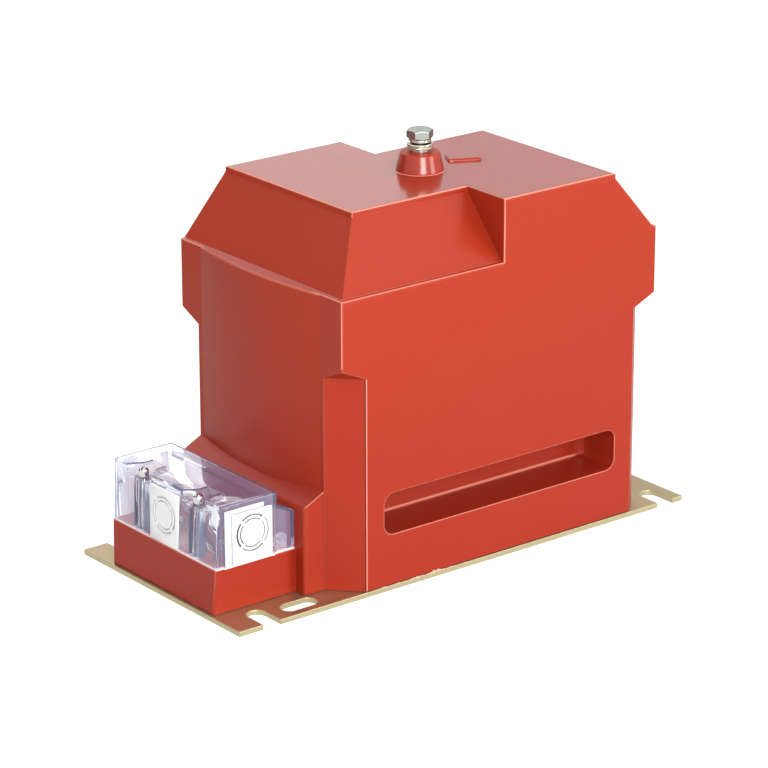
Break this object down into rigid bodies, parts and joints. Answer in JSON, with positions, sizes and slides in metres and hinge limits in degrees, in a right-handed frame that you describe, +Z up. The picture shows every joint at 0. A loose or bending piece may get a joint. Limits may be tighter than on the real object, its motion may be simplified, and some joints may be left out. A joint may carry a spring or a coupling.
{
  "type": "voltage transformer",
  "caption": "Cast-resin voltage transformer: red block with sloped shoulders on a slotted steel base plate, threaded primary terminal on top, clear-covered secondary terminal box at one end.",
  "frame": {"origin": "middle of the underside of the base plate", "axes": "+X along the length, away from the terminal box; +Z up"},
  "size_m": [0.384, 0.178, 0.2791],
  "materials": {
    "base_plate": "yellow zinc plated steel sheet",
    "resin": "cast epoxy resin, semi-gloss red",
    "brass_insert": "turned brass",
    "plated_brass": "nickel plated brass",
    "zinc_screw": "zinc plated steel",
    "spring_steel": "zinc plated spring steel",
    "clear_cover": "clear moulded polycarbonate",
    "white_plate": "white moulded plastic",
    "core_steel": "wound grain-oriented electrical steel strip",
    "band_steel": "steel strapping",
    "former": "moulded insulating former",
    "enamel_wire": "enamelled copper wire",
    "barrier_film": "insulating paper and film",
    "lead_wire": "insulated copper lead"
  },
  "bodies": {
    "root": {"base_plate": "base_plate", "resin_body": "resin", "body_inserts": "brass_insert", "body_screws": "zinc_screw", "primary_insert": "plated_brass", "primary_flat_washer": "plated_brass", "primary_spring_washer": "spring_steel", "primary_bolt": "zinc_screw", "terminal_cover": "clear_cover", "cover_screws": "zinc_screw", "cover_inserts": "brass_insert", "entry_plate_end": "white_plate", "entry_plate_front": "white_plate", "entry_plate_back": "white_plate", "secondary_inserts": "brass_insert", "secondary_washers": "zinc_screw", "secondary_spring_washers": "spring_steel", "secondary_screws": "zinc_screw", "core_half_left": "core_steel", "core_half_right": "core_steel", "core_band": "band_steel", "band_clip": "band_steel", "winding_former": "former", "secondary_winding": "enamel_wire", "residual_winding": "enamel_wire", "winding_barrier": "barrier_film", "primary_winding": "enamel_wire", "primary_screen": "brass_insert", "primary_lead": "lead_wire", "earth_end_lead": "lead_wire", "secondary_leads": "lead_wire"}
  },
  "joints": []
}
